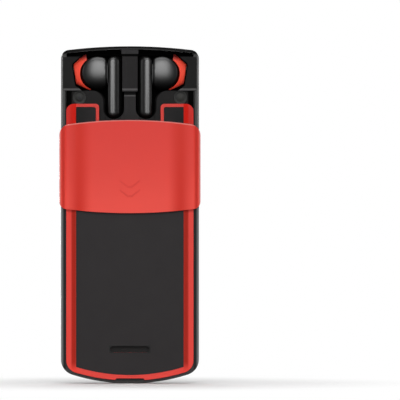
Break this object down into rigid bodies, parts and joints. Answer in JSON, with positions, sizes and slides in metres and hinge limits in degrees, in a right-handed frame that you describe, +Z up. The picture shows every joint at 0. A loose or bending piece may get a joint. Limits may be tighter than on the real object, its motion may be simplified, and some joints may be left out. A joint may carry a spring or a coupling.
{
  "type": "slider phone",
  "caption": "Bar-shaped keypad phone whose red rear cover slides down to open a bay with wireless earbuds; dark display, keypad and red side keys.",
  "frame": {"origin": "middle of the phone's lower end, midway between the front face and the sliding cover's crown", "axes": "+Z up the phone's length, the display and keypad face -Y, the sliding cover is at +Y"},
  "size_m": [0.0564, 0.0156, 0.1347],
  "materials": {
    "dark_shell": "satin charcoal moulding",
    "tray_black": "satin black moulding",
    "red_shell": "semi-gloss coral red moulding",
    "dark_panel": "satin charcoal panel",
    "black_glass": "clear gloss over black print",
    "key_black": "gloss black with pale print",
    "ring_metal": "brushed silver",
    "bud_black": "gloss black",
    "ear_tip_red": "soft red silicone",
    "window_dark": "tinted clear window",
    "screen": "display panel",
    "board_green": "solder-masked board",
    "steel": "plain sheet steel",
    "gold": "gold plated contacts",
    "silicone": "grey silicone",
    "foil": "clear switch foil",
    "mesh": "woven black mesh",
    "inner_black": "plain black plastic",
    "battery_wrap": "grey wrap",
    "copper": "copper foil"
  },
  "bodies": {
    "phone": {"front_housing": "dark_shell", "rear_housing": "dark_shell", "earbud_tray": "tray_black", "display_glass": "black_glass", "display_module": "screen", "main_board": "board_green", "shield_cans": "steel", "keypad_mat": "silicone", "dome_sheet": "foil", "side_key_switches": "inner_black", "earpiece_speaker": "inner_black", "speaker_meshes": "mesh", "microphone": "inner_black", "loudspeaker": "inner_black", "battery": "battery_wrap", "battery_contacts": "gold", "card_holder": "steel", "camera_module": "inner_black", "camera_window": "window_dark", "flash_window": "window_dark", "vibration_motor": "steel", "usb_port": "steel", "headphone_jack": "inner_black", "antenna": "copper", "housing_screws": "steel", "battery_cover_trim": "red_shell", "battery_cover_panel": "dark_panel", "detent_springs": "steel", "charging_pins": "gold", "earbud_magnets": "steel"},
    "cover": {"slider_cover": "red_shell"},
    "earbud_left": {"earbud_left_shell": "bud_black", "earbud_left_ear_tip": "ear_tip_red", "earbud_left_contacts": "gold"},
    "earbud_right": {"earbud_right_shell": "bud_black", "earbud_right_ear_tip": "ear_tip_red", "earbud_right_contacts": "gold"},
    "soft_key_left_body": {"soft_key_left": "key_black"},
    "soft_key_right_body": {"soft_key_right": "key_black"},
    "call_key_body": {"call_key": "key_black"},
    "end_key_body": {"end_key": "key_black"},
    "dpad_ring_body": {"dpad_ring": "ring_metal"},
    "centre_key_body": {"centre_key": "key_black"},
    "key_1_body": {"key_1": "key_black"},
    "key_2_body": {"key_2": "key_black"},
    "key_3_body": {"key_3": "key_black"},
    "key_4_body": {"key_4": "key_black"},
    "key_5_body": {"key_5": "key_black"},
    "key_6_body": {"key_6": "key_black"},
    "key_7_body": {"key_7": "key_black"},
    "key_8_body": {"key_8": "key_black"},
    "key_9_body": {"key_9": "key_black"},
    "key_star_body": {"key_star": "key_black"},
    "key_0_body": {"key_0": "key_black"},
    "key_hash_body": {"key_hash": "key_black"},
    "volume_down_key_body": {"volume_down_key": "red_shell"},
    "volume_up_key_body": {"volume_up_key": "red_shell"},
    "music_back_key_body": {"music_back_key": "red_shell"},
    "music_play_key_body": {"music_play_key": "red_shell"},
    "music_next_key_body": {"music_next_key": "red_shell"}
  },
  "joints": [
    {"name": "cover_slide", "type": "slide", "parent": "phone", "child": "cover", "axis": [0, 0, 1], "range_m": [0, 0.0288]},
    {"name": "earbud_left_lift", "type": "slide", "parent": "phone", "child": "earbud_left", "axis": [0, 1, 0], "range_m": [0, 0.025]},
    {"name": "earbud_right_lift", "type": "slide", "parent": "phone", "child": "earbud_right", "axis": [0, 1, 0], "range_m": [0, 0.025]},
    {"name": "soft_key_left_press", "type": "slide", "parent": "phone", "child": "soft_key_left_body", "axis": [0, 1, 0], "range_m": [0, 0.0003], "stiffness_N_per_m": 1000},
    {"name": "soft_key_right_press", "type": "slide", "parent": "phone", "child": "soft_key_right_body", "axis": [0, 1, 0], "range_m": [0, 0.0003], "stiffness_N_per_m": 1000},
    {"name": "call_key_press", "type": "slide", "parent": "phone", "child": "call_key_body", "axis": [0, 1, 0], "range_m": [0, 0.0003], "stiffness_N_per_m": 1000},
    {"name": "end_key_press", "type": "slide", "parent": "phone", "child": "end_key_body", "axis": [0, 1, 0], "range_m": [0, 0.0003], "stiffness_N_per_m": 1000},
    {"name": "dpad_ring_press", "type": "slide", "parent": "phone", "child": "dpad_ring_body", "axis": [0, 1, 0], "range_m": [0, 0.0003], "stiffness_N_per_m": 1000},
    {"name": "centre_key_press", "type": "slide", "parent": "phone", "child": "centre_key_body", "axis": [0, 1, 0], "range_m": [0, 0.0003], "stiffness_N_per_m": 1000},
    {"name": "key_1_press", "type": "slide", "parent": "phone", "child": "key_1_body", "axis": [0, 1, 0], "range_m": [0, 0.0003], "stiffness_N_per_m": 1000},
    {"name": "key_2_press", "type": "slide", "parent": "phone", "child": "key_2_body", "axis": [0, 1, 0], "range_m": [0, 0.0003], "stiffness_N_per_m": 1000},
    {"name": "key_3_press", "type": "slide", "parent": "phone", "child": "key_3_body", "axis": [0, 1, 0], "range_m": [0, 0.0003], "stiffness_N_per_m": 1000},
    {"name": "key_4_press", "type": "slide", "parent": "phone", "child": "key_4_body", "axis": [0, 1, 0], "range_m": [0, 0.0003], "stiffness_N_per_m": 1000},
    {"name": "key_5_press", "type": "slide", "parent": "phone", "child": "key_5_body", "axis": [0, 1, 0], "range_m": [0, 0.0003], "stiffness_N_per_m": 1000},
    {"name": "key_6_press", "type": "slide", "parent": "phone", "child": "key_6_body", "axis": [0, 1, 0], "range_m": [0, 0.0003], "stiffness_N_per_m": 1000},
    {"name": "key_7_press", "type": "slide", "parent": "phone", "child": "key_7_body", "axis": [0, 1, 0], "range_m": [0, 0.0003], "stiffness_N_per_m": 1000},
    {"name": "key_8_press", "type": "slide", "parent": "phone", "child": "key_8_body", "axis": [0, 1, 0], "range_m": [0, 0.0003], "stiffness_N_per_m": 1000},
    {"name": "key_9_press", "type": "slide", "parent": "phone", "child": "key_9_body", "axis": [0, 1, 0], "range_m": [0, 0.0003], "stiffness_N_per_m": 1000},
    {"name": "key_star_press", "type": "slide", "parent": "phone", "child": "key_star_body", "axis": [0, 1, 0], "range_m": [0, 0.0003], "stiffness_N_per_m": 1000},
    {"name": "key_0_press", "type": "slide", "parent": "phone", "child": "key_0_body", "axis": [0, 1, 0], "range_m": [0, 0.0003], "stiffness_N_per_m": 1000},
    {"name": "key_hash_press", "type": "slide", "parent": "phone", "child": "key_hash_body", "axis": [0, 1, 0], "range_m": [0, 0.0003], "stiffness_N_per_m": 1000},
    {"name": "volume_down_key_press", "type": "slide", "parent": "phone", "child": "volume_down_key_body", "axis": [1, 0, 0], "range_m": [0, 0.00025], "stiffness_N_per_m": 1000},
    {"name": "volume_up_key_press", "type": "slide", "parent": "phone", "child": "volume_up_key_body", "axis": [1, 0, 0], "range_m": [0, 0.00025], "stiffness_N_per_m": 1000},
    {"name": "music_back_key_press", "type": "slide", "parent": "phone", "child": "music_back_key_body", "axis": [-1, 0, 0], "range_m": [0, 0.00025], "stiffness_N_per_m": 1000},
    {"name": "music_play_key_press", "type": "slide", "parent": "phone", "child": "music_play_key_body", "axis": [-1, 0, 0], "range_m": [0, 0.00025], "stiffness_N_per_m": 1000},
    {"name": "music_next_key_press", "type": "slide", "parent": "phone", "child": "music_next_key_body", "axis": [-1, 0, 0], "range_m": [0, 0.00025], "stiffness_N_per_m": 1000}
  ]
}
